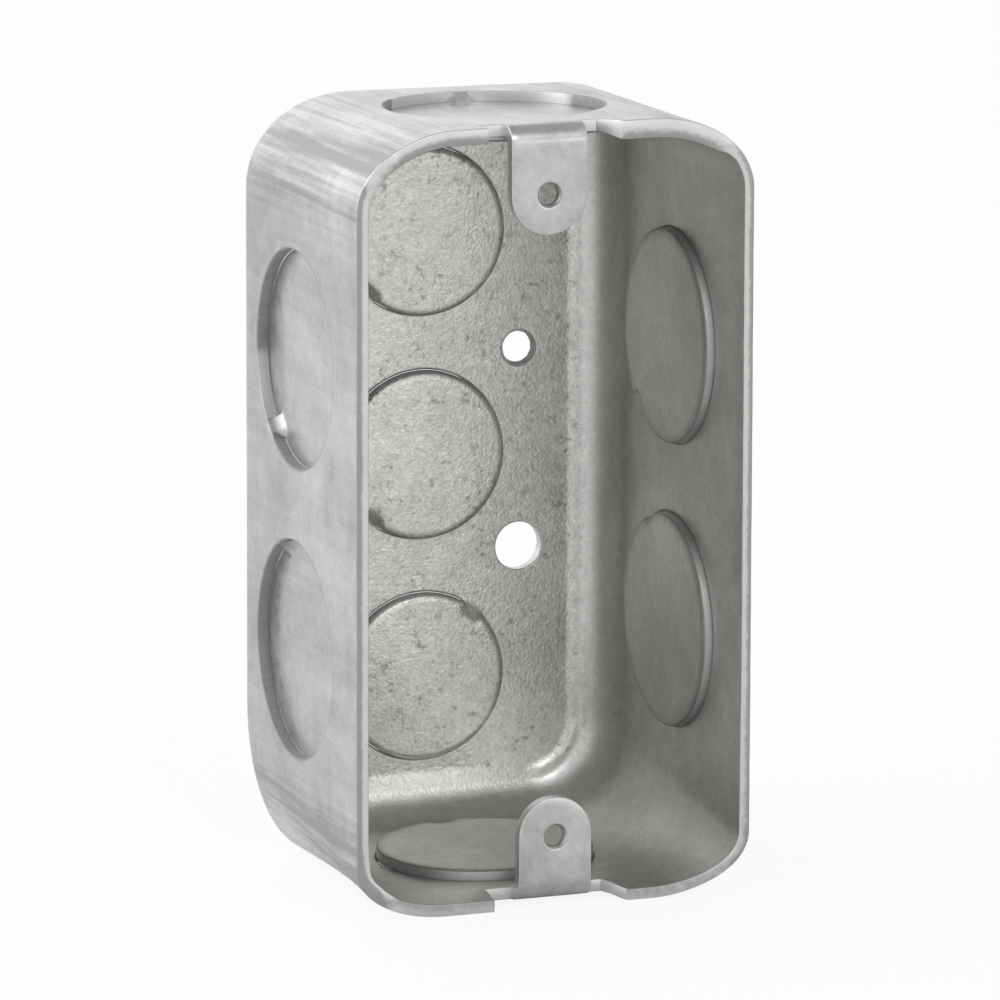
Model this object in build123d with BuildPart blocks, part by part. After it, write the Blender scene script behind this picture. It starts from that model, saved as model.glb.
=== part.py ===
"""Drawn steel handy box, open at the front, standing on its lower end.

Millimetres. +Z runs up the long way of the box, -Y is the open side, X is across.
"""

from build123d import *

import os
from math import atan2, cos, sin

# Envelope and sheet
width = 53.975  # across, over the long walls
length = 101.6  # along, over the end walls at the rim
depth = 47.625  # rim to back
sheet = 1.6
top_lean = 1.5  # how far the upper end wall leans in at the back
bottom_lean = 0.6
back_edge_r = 7.5  # outside radius where the walls turn into the back

# Plan corners as (reach across, reach along), in the order
# upper right, upper left, lower left, lower right; the drawn corners are not quite round
rim_corners = ((13.4, 9.7), (14.5, 10.0), (12.0, 6.8), (14.2, 7.7))
back_corners = ((10.5, 9.0), (13.8, 12.3), (8.3, 21.4), (13.0, 13.0))

# Cover screw ears
ear_inset = 9.13  # screw hole from the end of the box; puts the two holes 83.34 apart
ear_width = 10.3
ear_setback = 0.75  # front of the ear behind the rim
ear_bend_r = 2.3  # outside radius of the bend
ear_hole_r = 1.5
ear_mouth = 0.3  # width of the chamfer round the hole
ear_drop_top = 0.15  # how far the bend of the ear sits inside the end of the box
ear_drop_bottom = 0.75
ear_root = 2.5  # the root of the ear blends into the wall over this length
notch_left = 8.6  # from the middle of the ear to the square side of its notch
notch_right = 7.2  # and to the slanted side, at the floor of the notch
notch_depth = 3.2
notch_ramp = 2.7  # the slanted side runs out by this at the rim

# Knockouts
large_r = 14.15
small_r = 11.25
push = 1.75  # how far each disc is pushed in
slot_gap = 0.06  # radial gap between disc and hole
tie_width = 3.4
tie_run = 1.4  # how far a tie reaches in over its disc
web = 5.0  # least metal left between two knockouts
side_depth = 23.2  # centres behind the rim
side_inset = 31.9  # outermost centre from the end of the box
side_most = 2
side_shift = -0.7  # the row sits a little below the middle
end_shift = -0.6
end_depth = 22.0
back_inset = 21.0
back_most = 3
back_shift = -1.0

# Holes beside the knockouts, through the back
ground_r = 2.15
fixing_r = 3.2
hole_x = 12.7
hole_z = 13.35

mid = length / 2
front = -depth / 2
back = depth / 2


def lean(side, behind):
    """How far an end wall stands in at a depth; side is 1 for the upper end and -1 for the lower."""
    return (top_lean if side > 0 else bottom_lean) * behind / depth


def plan_edges(behind, inset, corners):
    """Edges of the plan at one depth, inset from the outside: a corner and a straight by turns."""
    signs = ((1, 1), (-1, 1), (-1, -1), (1, -1))
    bends = []
    with BuildLine(Plane((0, front + behind, mid), x_dir=(1, 0, 0), z_dir=(0, -1, 0))):
        for (across, along), (sx, sz), start in zip(corners, signs, (0, 90, 180, 270)):
            centre = (sx * (width / 2 - across), sz * (length / 2 - lean(sz, behind) - along))
            a = across - inset
            b = along - inset
            bends.append(EllipticalCenterArc(centre, a, b, start_angle=start, arc_size=90).edge())
    edges = []
    for here, after in zip(bends, bends[1:] + bends[:1]):
        edges += [here, Edge.make_line(here @ 1, after @ 0)]
    return edges


def drawn_shape(inset):
    """Solid between the plans at the rim and at the back, with flat walls and ruled corners."""
    rim = plan_edges(0, inset, rim_corners)
    rear = plan_edges(depth - inset, inset, back_corners)
    walls = [Face(Wire(rim)), Face(Wire(rear))]
    for near, far in zip(rim, rear):
        if near.geom_type == GeomType.LINE:
            walls.append(Face(Wire.make_polygon([near @ 0, near @ 1, far @ 1, far @ 0])))
        else:
            walls.append(Face.make_surface_from_curves(near, far))
    return Solid(Shell(walls))


with BuildPart() as hollow:
    add(drawn_shape(sheet))
    fillet(hollow.faces().sort_by(Axis.Y)[-1].edges(), back_edge_r - sheet)


# Local planes of the walls: the origin is on the outside and the normal points in


def end_plane(side, x, behind):
    """The outside of an end wall; side is 1 for the upper end and -1 for the lower."""
    origin = (x, front + behind, mid + side * (length / 2 - lean(side, behind)))
    angle = atan2(lean(side, depth), depth)
    return Plane(origin, x_dir=(1, 0, 0), z_dir=(0, -sin(angle), -side * cos(angle)))


def side_plane(side, behind, z):
    """The outside of a long wall; side is 1 for the right wall and -1 for the left."""
    return Plane((side * width / 2, front + behind, mid + z), x_dir=(0, 1, 0), z_dir=(-side, 0, 0))


def back_plane(x, z):
    return Plane((x, back, mid + z), x_dir=(1, 0, 0), z_dir=(0, -1, 0))


def spread(inset, radius, most):
    """Centres of a row along the box, as many as most where the webs between them allow."""
    reach = mid - inset
    count = min(most, int(2 * reach // (2 * radius + web)) + 1)
    if count == 1:
        return [0]
    return [reach - 2 * reach * i / (count - 1) for i in range(count)]


def knockout(wall, radius, tie):
    """Cuts the hole, then puts its disc back pushed in, held by one tie in direction tie."""
    with BuildSketch(wall) as hole:
        Circle(radius)
    extrude(hole.sketch, amount=2 * sheet, both=True, mode=Mode.SUBTRACT)
    with BuildSketch(wall.offset(push)) as disc:
        Circle(radius - slot_gap)
    extrude(disc.sketch, amount=sheet)
    out = Vector(*tie).normalized()
    across = wall.z_dir.cross(out)
    with BuildSketch(Plane(wall.origin, x_dir=out, z_dir=across * -1)) as bridge:
        with BuildLine():
            Polyline(
                (radius + 0.3, 0),
                (radius + 1.3, sheet),
                (radius - 0.2, push + sheet),
                (radius - tie_run - 0.2, push + sheet / 4),
                (radius - tie_run, push),
                close=True,
            )
        make_face()
    extrude(bridge.sketch, amount=tie_width / 2, both=True)


def ear(side, drop):
    """Adds one ear: a slanted root out of the end wall, a bend and a round-ended blade."""
    hole = mid - ear_inset
    end = length / 2 - drop  # outside of the bend
    bend_y = front + ear_setback + ear_bend_r
    blade_y = front + ear_setback
    behind = notch_depth + ear_root
    wall_y = front + behind
    wall_z = length / 2 - lean(side, behind)
    profile = [
        (wall_y, wall_z),
        (bend_y, end),
        (blade_y, end - ear_bend_r),
        (blade_y, hole),
        (blade_y + sheet, hole),
        (blade_y + sheet, end - ear_bend_r),
        (bend_y, end - sheet),
        (wall_y, wall_z - sheet),
    ]
    profile = [(y, side * z) for y, z in profile]
    centre = (bend_y, side * (end - ear_bend_r))
    turn = side * 90
    inner_r = ear_bend_r - sheet
    with BuildSketch(Plane((0, 0, mid), x_dir=(0, 1, 0), z_dir=(1, 0, 0))) as strip:
        with BuildLine():
            Line(profile[0], profile[1])
            CenterArc(centre, ear_bend_r, turn, turn)
            Line(profile[2], profile[3])
            Line(profile[3], profile[4])
            Line(profile[4], profile[5])
            CenterArc(centre, inner_r, turn, turn)
            Line(profile[6], profile[7])
            Line(profile[7], profile[0])
        make_face()
    extrude(strip.sketch, amount=ear_width / 2, both=True)
    face = Plane((0, blade_y, mid + side * hole), x_dir=(1, 0, 0), z_dir=(0, 1, 0))
    with BuildSketch(face) as tip:
        Circle(ear_width / 2)
    extrude(tip.sketch, amount=sheet)
    with BuildSketch(face) as bore:
        Circle(ear_hole_r)
    extrude(bore.sketch, amount=sheet, mode=Mode.SUBTRACT)
    with BuildSketch(face) as mouth:
        Circle(ear_hole_r + ear_mouth)
    extrude(mouth.sketch, amount=ear_mouth, taper=45, mode=Mode.SUBTRACT)


def notches(side):
    """Clears the end wall round one ear, square on the left and slanted on the right."""
    with BuildSketch(Plane.XY.offset(mid + side * length / 2)) as gap:
        with BuildLine():
            Polyline(
                (-notch_left, front - 1),
                (-notch_left, front + notch_depth),
                (notch_right, front + notch_depth),
                (notch_right + notch_ramp, front),
                (notch_right + notch_ramp, front - 1),
                close=True,
            )
        make_face()
    extrude(gap.sketch, amount=2 * sheet, both=True, mode=Mode.SUBTRACT)


with BuildPart() as handy_box:
    add(drawn_shape(0))
    fillet(handy_box.faces().sort_by(Axis.Y)[-1].edges(), back_edge_r)
    add(hollow.part, mode=Mode.SUBTRACT)

    notches(1)
    notches(-1)
    ear(1, ear_drop_top)
    ear(-1, ear_drop_bottom)

    for wall_side in (1, -1):
        for z in spread(side_inset, large_r, side_most):
            tie = (0, 0.66, -0.75) if z >= 0 else (0, 0.41, 0.91)
            knockout(side_plane(wall_side, side_depth, side_shift + z), large_r, tie)
    knockout(end_plane(1, end_shift, end_depth), large_r, (0.04, 1, 0))
    knockout(end_plane(-1, end_shift, end_depth), large_r, (-0.05, 1, 0))
    for z in spread(back_inset, small_r, back_most):
        tie = (-0.68, 0, -0.73) if z >= 0 else (0.64, 0, 0.77)
        knockout(back_plane(back_shift, z), small_r, tie)

    for hole_side, hole_r in ((1, ground_r), (-1, fixing_r)):
        with BuildSketch(back_plane(hole_x, hole_side * hole_z)):
            Circle(hole_r)
        extrude(amount=2 * sheet, both=True, mode=Mode.SUBTRACT)

handy_box.part.label = "handy_box"

os.makedirs("parts", exist_ok=True)
export_step(handy_box.part, "parts/handy_box.step")
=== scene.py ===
"""Handy box of galvanised sheet steel: one drawn sheet with its knockouts and ears, the threads of its
tapped holes, and a stage.

Lengths are in metres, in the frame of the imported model: +Z up the long way of the box, -Y its open side.
"""

import math
from functools import partial

import bpy
import numpy as np
from bpy.props import FloatProperty, FloatVectorProperty, PointerProperty
from mathutils import Matrix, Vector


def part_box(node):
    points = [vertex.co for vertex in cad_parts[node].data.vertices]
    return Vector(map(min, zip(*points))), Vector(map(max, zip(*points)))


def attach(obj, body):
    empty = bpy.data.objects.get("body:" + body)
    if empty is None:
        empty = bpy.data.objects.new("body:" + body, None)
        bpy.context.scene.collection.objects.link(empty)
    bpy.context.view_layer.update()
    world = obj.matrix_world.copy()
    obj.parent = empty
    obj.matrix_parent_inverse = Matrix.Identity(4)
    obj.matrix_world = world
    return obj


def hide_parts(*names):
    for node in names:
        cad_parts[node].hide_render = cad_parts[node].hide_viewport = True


bl_info = {
    "name": "Handy box",
    "version": (1, 0, 0),
    "blender": (4, 5, 0),
    "location": "View3D > Sidebar > Handy box",
    "description": "Builds a drawn steel handy box with pushed-in knockouts round the packed model",
    "category": "Object",
}

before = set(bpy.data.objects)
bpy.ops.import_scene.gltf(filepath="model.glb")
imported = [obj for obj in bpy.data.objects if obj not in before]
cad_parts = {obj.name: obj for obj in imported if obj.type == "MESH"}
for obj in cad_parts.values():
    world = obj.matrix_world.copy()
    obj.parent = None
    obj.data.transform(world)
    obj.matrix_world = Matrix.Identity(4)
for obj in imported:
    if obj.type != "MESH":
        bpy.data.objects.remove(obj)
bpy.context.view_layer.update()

MM = 0.001
NODE = "handy_box"
LOW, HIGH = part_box(NODE)
WIDTH, DEPTH, LENGTH = HIGH - LOW
FRONT = LOW.y
HALF_X = WIDTH / 2
HALF_Z = LENGTH / 2
MERGE = 0.37e-6  # points nearer than this are one point
CLOSE = 0.01 * MM  # grid lines nearer than this are one line
PLAIN_SHINE = 0.4  # brightness of a cut where nothing else is said

# Plan corners at the rim and at the back: the sides of the box they join, then how far each corner
# reaches across and along the box
CORNERS = (
    (1, 1, (13.4, 9.7), (10.5, 9.0)),
    (-1, 1, (14.5, 10.0), (13.8, 12.3)),
    (-1, -1, (12.0, 6.8), (8.3, 21.4)),
    (1, -1, (14.2, 7.7), (13.0, 13.0)),
)


class BoxSizes(bpy.types.PropertyGroup):
    """Sizes of the drawn sheet."""

    sheet: FloatProperty(
        name="Sheet", description="Thickness of the steel", default=1.6 * MM, min=0, unit="LENGTH")
    top_lean: FloatProperty(
        name="Top lean", description="How far the upper end wall leans in at the back",
        default=1.5 * MM, min=0, unit="LENGTH")
    bottom_lean: FloatProperty(
        name="Bottom lean", description="How far the lower end wall leans in at the back",
        default=0.6 * MM, min=0, unit="LENGTH")
    top_skew: FloatProperty(
        name="Top skew", description="How much more the right end of that lean is, and less the left",
        default=0.45 * MM, unit="LENGTH")
    bottom_skew: FloatProperty(
        name="Bottom skew", description="The same for the lower end wall", default=0.57 * MM, unit="LENGTH")
    back_radius: FloatProperty(
        name="Back radius", description="Outside radius where the walls turn into the back",
        default=7.5 * MM, min=0, unit="LENGTH")
    pitch: FloatProperty(
        name="Mesh pitch", description="Length of a mesh cell on the walls",
        default=1.2 * MM, min=0.5 * MM, unit="LENGTH")
    rim_roll: FloatProperty(
        name="Rim roll", description="Radius that the shears leave on the outside of the rim",
        default=0.22 * MM, min=0, unit="LENGTH")
    rim_ragged: FloatProperty(
        name="Ragged rim", description="Most that the sheared rim falls short of its plane",
        default=0.1 * MM, min=0, unit="LENGTH")
    edge: FloatProperty(
        name="Edge", description="Radius of the other cut edges", default=0.14 * MM, min=0, unit="LENGTH")
    fixing_radius: FloatProperty(
        name="Fixing hole", description="Radius of the plain hole in the back",
        default=3.2 * MM, min=0, unit="LENGTH")
    hole_x: FloatProperty(
        name="Holes across", description="Place of the two back holes across the box",
        default=12.7 * MM, unit="LENGTH")
    hole_z: FloatProperty(
        name="Holes along", description="Place of each back hole from the middle",
        default=13.35 * MM, unit="LENGTH")


class KnockoutSizes(bpy.types.PropertyGroup):
    """Sizes and places of the pushed-in discs."""

    large: FloatProperty(
        name="Large radius", description="Radius of the discs in the walls",
        default=14.15 * MM, min=0, unit="LENGTH")
    small: FloatProperty(
        name="Small radius", description="Radius of the discs in the back",
        default=11.25 * MM, min=0, unit="LENGTH")
    push_left: FloatProperty(
        name="Left push", description="How far the discs of the left wall stand in",
        default=1.64 * MM, min=0, unit="LENGTH")
    push_right: FloatProperty(
        name="Right push", description="How far the discs of the right wall stand in",
        default=1.3 * MM, min=0, unit="LENGTH")
    push_top: FloatProperty(
        name="Top push", description="How far the disc of the upper end wall stands in",
        default=1.4 * MM, min=0, unit="LENGTH")
    push_bottom: FloatProperty(
        name="Bottom push", description="How far the disc of the lower end wall stands in",
        default=1.52 * MM, min=0, unit="LENGTH")
    push_back: FloatProperty(
        name="Back push", description="How far the discs of the back stand in",
        default=1.5 * MM, min=0, unit="LENGTH")
    gap: FloatProperty(
        name="Slot", description="Gap between a disc and its hole", default=0.05 * MM, min=0, unit="LENGTH")
    tie: FloatProperty(
        name="Tie width", description="Width of the uncut metal that holds a disc",
        default=2.4 * MM, min=0, unit="LENGTH")
    tie_fade: FloatProperty(
        name="Tie fade", description="Length over which the slot opens beside a tie",
        default=0.45 * MM, min=0, unit="LENGTH")
    roll: FloatProperty(
        name="Roll", description="Radius that the punch leaves on the edge of the hole",
        default=0.18 * MM, min=0, unit="LENGTH")
    burr: FloatProperty(
        name="Burr", description="Radius on the inner edge of the hole",
        default=0.09 * MM, min=0, unit="LENGTH")
    lip: FloatProperty(
        name="Lip", description="Width of the rounded edge on the inner face of a disc",
        default=1.0 * MM, min=0, unit="LENGTH")
    lip_drop: FloatProperty(
        name="Lip drop", description="How far that edge falls away",
        default=0.62 * MM, min=0, unit="LENGTH")
    dome: FloatProperty(
        name="Dome", description="How much further in the middle of a disc stands than its edge",
        default=0.12 * MM, unit="LENGTH")
    side_depth: FloatProperty(
        name="Side depth", description="Centres in the long walls behind the rim",
        default=23.2 * MM, unit="LENGTH")
    side_reach: FloatProperty(
        name="Side reach", description="Centres in the long walls from their middle",
        default=18.9 * MM, unit="LENGTH")
    side_shift: FloatProperty(
        name="Side shift", description="Middle of those centres above the middle of the box",
        default=-0.7 * MM, unit="LENGTH")
    top_depth: FloatProperty(
        name="Top depth", description="Centre in the upper end wall behind the rim",
        default=21.5 * MM, unit="LENGTH")
    top_shift: FloatProperty(
        name="Top shift", description="Centre in the upper end wall right of the middle",
        default=-0.3 * MM, unit="LENGTH")
    bottom_depth: FloatProperty(
        name="Bottom depth", description="Centre in the lower end wall behind the rim",
        default=22.5 * MM, unit="LENGTH")
    bottom_shift: FloatProperty(
        name="Bottom shift", description="Centre in the lower end wall right of the middle",
        default=-1.0 * MM, unit="LENGTH")
    back_reach: FloatProperty(
        name="Back reach", description="Outer centres in the back from the middle",
        default=29.8 * MM, unit="LENGTH")
    back_shift: FloatProperty(
        name="Back shift", description="Centres in the back right of the middle",
        default=-1.0 * MM, unit="LENGTH")


class EarSizes(bpy.types.PropertyGroup):
    """Sizes of the ears, their notches and the tapped holes."""

    width: FloatProperty(
        name="Width", description="Width of an ear", default=10.3 * MM, min=0, unit="LENGTH")
    narrow: FloatProperty(
        name="Narrow", description="Share by which the lower ear is narrower",
        default=0.035, min=0, max=0.5)
    inset: FloatProperty(
        name="Inset", description="Screw hole from the end of the box", default=9.13 * MM, unit="LENGTH")
    setback: FloatProperty(
        name="Setback", description="Face of an ear behind the rim", default=0.75 * MM, unit="LENGTH")
    bend: FloatProperty(
        name="Bend", description="Outside radius of the bend", default=2.3 * MM, min=0, unit="LENGTH")
    drop_top: FloatProperty(
        name="Upper drop", description="How far the bend of the upper ear is pulled in from the end",
        default=0.15 * MM, unit="LENGTH")
    drop_bottom: FloatProperty(
        name="Lower drop", description="How far the bend of the lower ear is pulled in from the end",
        default=0.75 * MM, unit="LENGTH")
    shift_top: FloatProperty(
        name="Upper shift", description="Upper ear and its notches right of the middle",
        default=-0.72 * MM, unit="LENGTH")
    shift_bottom: FloatProperty(
        name="Lower shift", description="Lower ear and its notches right of the middle",
        default=0.36 * MM, unit="LENGTH")
    notch_left: FloatProperty(
        name="Notch left", description="Square side of a notch from the middle of its ear",
        default=8.6 * MM, unit="LENGTH")
    notch_right: FloatProperty(
        name="Notch right", description="Slanted side of a notch from the middle of its ear, at the floor",
        default=7.2 * MM, unit="LENGTH")
    notch_depth: FloatProperty(
        name="Notch depth", description="Floor of a notch behind the rim",
        default=3.2 * MM, unit="LENGTH")
    ramp: FloatProperty(
        name="Ramp", description="How far the right side of a notch slants out",
        default=2.7 * MM, unit="LENGTH")
    screw: FloatProperty(
        name="Ear thread", description="Largest radius of the thread in an ear",
        default=1.64 * MM, min=0, unit="LENGTH")
    screw_pitch: FloatProperty(
        name="Ear thread pitch", description="Rise of that thread in one turn",
        default=0.794 * MM, min=0, unit="LENGTH")
    ground: FloatProperty(
        name="Ground thread", description="Largest radius of the thread in the back",
        default=2.42 * MM, min=0, unit="LENGTH")
    ground_pitch: FloatProperty(
        name="Ground thread pitch", description="Rise of that thread in one turn",
        default=0.794 * MM, min=0, unit="LENGTH")


class SteelLook(bpy.types.PropertyGroup):
    """Colours and finish of the galvanised steel."""

    zinc: FloatVectorProperty(
        name="Zinc", description="Colour of the bright zinc", subtype="COLOR", size=3,
        default=(0.84, 0.85, 0.84), min=0, max=1)
    cloud: FloatVectorProperty(
        name="Cloud", description="Colour of its dull clouds", subtype="COLOR", size=3,
        default=(0.44, 0.45, 0.44), min=0, max=1)
    # Painted light: at above 1 this tint makes the shaded inside of the back brighter than the zinc.
    back: FloatVectorProperty(
        name="Back", description="Tint of the rough inside of the back", subtype="COLOR", size=3,
        default=(1.2, 1.2, 1.18), min=0, max=1.5)
    # Partly a painted highlight: this lighter colour lies along the middle of the back radius.
    polished: FloatVectorProperty(
        name="Polished", description="Colour of the radius that the drawing has polished", subtype="COLOR",
        size=3, default=(0.95, 0.95, 0.94), min=0, max=1)
    walls: FloatVectorProperty(
        name="Inner walls", description="Tint of the inside of the walls", subtype="COLOR", size=3,
        default=(0.92, 0.93, 0.91), min=0, max=1.5)
    # Also the colour of the painted shade beside the knockouts' slots and on their ties.
    pit_and_shade: FloatVectorProperty(
        name="Pits", description="Colour of the dark specks", subtype="COLOR", size=3,
        default=(0.14, 0.14, 0.13), min=0, max=1)
    shear: FloatVectorProperty(
        name="Shear", description="Colour of the burnished part of a cut", subtype="COLOR", size=3,
        default=(0.42, 0.43, 0.42), min=0, max=1)
    cut: FloatVectorProperty(
        name="Cut", description="Colour of the broken part of a cut", subtype="COLOR", size=3,
        default=(0.76, 0.77, 0.76), min=0, max=1)
    torn: FloatVectorProperty(
        name="Torn", description="Colour of the torn edges of the knockouts", subtype="COLOR", size=3,
        default=(0.42, 0.42, 0.42), min=0, max=1)
    metal: FloatProperty(
        name="Metal", description="Share of metallic reflection", default=0.94, min=0, max=1)
    roughness: FloatProperty(
        name="Roughness", description="Roughness of the smooth zinc", default=0.3, min=0, max=1)
    relief: FloatProperty(
        name="Relief", description="Depth of the grain", default=0.035 * MM, min=0, unit="LENGTH")
    fold_x: FloatProperty(
        name="Fold across", description="Centre of the drawn fold in the lower right corner, across",
        default=14 * MM, unit="LENGTH")
    fold_z: FloatProperty(
        name="Fold along", description="The same centre, from the middle of the box",
        default=-37.2 * MM, unit="LENGTH")
    fold_reach: FloatProperty(
        name="Fold reach", description="Crest of the fold from its centre",
        default=6.7 * MM, min=0, unit="LENGTH")
    fold_width: FloatProperty(
        name="Fold width", description="Half the width of the fold",
        default=1.3 * MM, min=0, unit="LENGTH")
    fold_height: FloatProperty(
        name="Fold height", description="Height of the fold", default=0.25 * MM, min=0, unit="LENGTH")


def smooth(share):
    """Rises from 0 to 1 with no slope at either end: 3 s squared less 2 s cubed."""
    share = np.clip(share, 0, 1)
    return share * share * (3 - 2 * share)


def fade(distance, start, length):
    """Falls from 1 at a start to 0 a length beyond it, along the same curve."""
    return 1 - smooth((distance - start) / length)


def quarter(share):
    """Cubic that maps 0..1 round a corner to 0..1 of its turn, at true arc speed where it leaves either
    wall."""
    speed = 4 / np.pi
    return share * (speed + share * (3 - 3 * speed + share * (2 * speed - 2)))


def waves(along, seed, lengths, period):
    """Sum of sines with the given wave lengths and seeded phases, from -1 to 1. Each wave is stretched to
    fit the period a whole number of times."""
    dice = np.random.default_rng(seed)
    total = np.zeros_like(along)
    for length in lengths:
        length = period / max(1, round(period / length))
        total += np.sin(2 * np.pi * (along / length + dice.random()))
    return total / len(lengths)


def end_lean(sizes, side):
    """Lean of the end wall on the side of each number's sign."""
    return np.where(np.asarray(side) > 0, sizes.top_lean, sizes.bottom_lean)


def plan_point(sizes, bx, bz, behind, inset):
    """Point of a wall. bx, bz is a point of the rectangle round the plan, behind the length down the wall
    and round the back radius, inset the distance in from the outside. The rectangle's sides are the flat
    walls; near its corners the point goes round an ellipse instead, whose reach changes evenly with depth."""
    radius = sizes.back_radius
    straight = DEPTH - radius
    behind = behind + np.zeros_like(bx)
    turn = np.clip((behind - straight) / radius, 0, np.pi / 2)
    level = np.minimum(behind, straight) + radius * np.sin(turn)
    y = level - inset * np.sin(turn)
    inward = radius - (radius - inset) * np.cos(turn)
    shrink = radius * (1 - np.cos(turn))
    share = level / DEPTH
    lean = end_lean(sizes, bz)
    rect_x = HALF_X - shrink
    rect_z = HALF_Z - (radius + lean) * (1 - np.cos(turn))
    end_z = HALF_Z - lean * share
    px = bx * rect_x / HALF_X
    pz = bz * rect_z / HALF_Z
    on_side = np.isclose(np.abs(bx), HALF_X)
    x = np.where(on_side, np.sign(bx) * (HALF_X - inward), px)
    z = np.where(on_side, pz, np.sign(bz) * (end_z - inward))
    for side_x, side_z, rim, back in CORNERS:
        reach_x = (rim[0] + (back[0] - rim[0]) * share) * MM
        reach_z = (rim[1] + (back[1] - rim[1]) * share) * MM
        centre_x, centre_z = HALF_X - reach_x, end_z - reach_z
        near = (side_x * px >= centre_x) & (side_z * pz >= centre_z)
        leg_x, leg_z = rect_x - centre_x, rect_z - centre_z
        angle = np.pi / 2 * quarter(((side_z * pz - centre_z) + (rect_x - side_x * px)) / (leg_x + leg_z))
        x = np.where(near, side_x * (centre_x + (reach_x - inward) * np.cos(angle)), x)
        z = np.where(near, side_z * (centre_z + (reach_z - inward) * np.sin(angle)), z)
    return np.stack([x, FRONT + y, HALF_Z + z], axis=-1)


class Wall:
    """A long wall (axis z) or an end wall (axis x), as a plane of two coordinates: along it, and behind
    the rim."""

    def __init__(self, sizes, axis, side):
        self.sizes, self.axis, self.side = sizes, axis, side
        self.flip = (axis == "z") == (side > 0)
        self.inward = np.array((-side, 0, 0) if axis == "z" else (0, 0, -side), float)

    def rectangle(self, along):
        """Point of the rectangle round the plan at a place along the wall."""
        edge = np.full_like(along, self.side * (HALF_X if self.axis == "z" else HALF_Z))
        return (edge, along) if self.axis == "z" else (along, edge)

    def place(self, along, behind, inset):
        """Point of the wall, an inset in from its outside."""
        return plan_point(self.sizes, *self.rectangle(along), behind, inset)


class Back:
    """The flat back, as a plane of x and z from the middle."""

    flip = True
    inward = np.array((0, -1.0, 0))

    def place(self, x, z, inset):
        """Point of the back, an inset in from its outside."""
        return np.stack([x, FRONT + DEPTH - inset + 0 * x, HALF_Z + z], axis=-1)


class Ear:
    """One ear, as a strip of two coordinates: across it, and along its path from the floor of the notch.
    The path runs level to the bend, turns it and runs straight down the face. The inside is offset square
    to the path."""

    inward = np.zeros(3)

    def __init__(self, sizes, ears, side):
        self.side = side
        self.flip = side > 0
        self.floor = ears.notch_depth
        self.bend = ears.bend
        self.top = HALF_Z - float(end_lean(sizes, side)) * ears.notch_depth / DEPTH
        self.root = ears.notch_depth - ears.setback - ears.bend
        self.face = self.root + ears.bend * np.pi / 2
        self.hole = self.face + (self.top - ears.bend) - (HALF_Z - ears.inset)
        self.narrow = 0.0 if side > 0 else ears.narrow

    def place(self, across, path, inset):
        """Point of the ear. It runs in towards the rim, then a quarter turn, then down by the run."""
        across = across * (1 - self.narrow * smooth(path / self.face))
        turn = np.clip((path - self.root) / self.bend, 0, np.pi / 2)
        run = np.maximum(path - self.face, 0)
        radius = self.bend - inset
        y = self.floor - np.clip(path, 0, self.root) - radius * np.sin(turn)
        z = self.top - self.bend + radius * np.cos(turn) - run
        return np.stack([across, FRONT + y, HALF_Z + self.side * z], axis=-1)


# How the press's moves fade: the place up to which they are whole, and the length over which they fade
SHIFT_ACROSS = (11 * MM, 10 * MM)
SHIFT_BEHIND = (6 * MM, 8 * MM)
PULL_BESIDE_EAR = (6 * MM, 2.4 * MM)
PULL_FROM_END = (7 * MM, 4.5 * MM)
PULL_PAST_NOTCH = 7 * MM
PULL_BEHIND_NOTCH = 8 * MM


def settle(points, sizes, ears):
    """How far the press and the bending of the ears have moved each point from the true shape. The end
    walls lean more on the right than on the left, in proportion to the place across and the depth. Each ear
    and its notches sit a little to one side, and the bend has pulled the floor of the notches in. Each of
    these moves is a length times fades in the wall behind and to the sides."""
    x, y, z = points[:, 0], points[:, 1] - FRONT, points[:, 2] - HALF_Z
    aside = np.abs(x)
    upper = z > 0
    moved = np.zeros_like(points)
    skew = np.where(upper, sizes.top_skew, sizes.bottom_skew)
    moved[:, 2] = -z / HALF_Z * skew * x / HALF_X * y / DEPTH

    near = fade(aside, *SHIFT_ACROSS) * fade(y, *SHIFT_BEHIND)
    moved[:, 0] += np.where(upper, ears.shift_top, ears.shift_bottom) * near

    drop = np.where(upper, ears.drop_top, ears.drop_bottom) - end_lean(sizes, z) * ears.notch_depth / DEPTH
    start, length = PULL_BESIDE_EAR
    held = 1 - smooth((aside - start) / length) * fade(y, 0, ears.notch_depth)
    pull = fade(aside, ears.notch_left, PULL_PAST_NOTCH) * fade(y, ears.notch_depth, PULL_BEHIND_NOTCH)
    start, length = PULL_FROM_END
    pull = pull * smooth((np.abs(z) - HALF_Z + start) / length)
    moved[:, 2] -= np.sign(z) * drop * held * pull
    return moved


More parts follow.
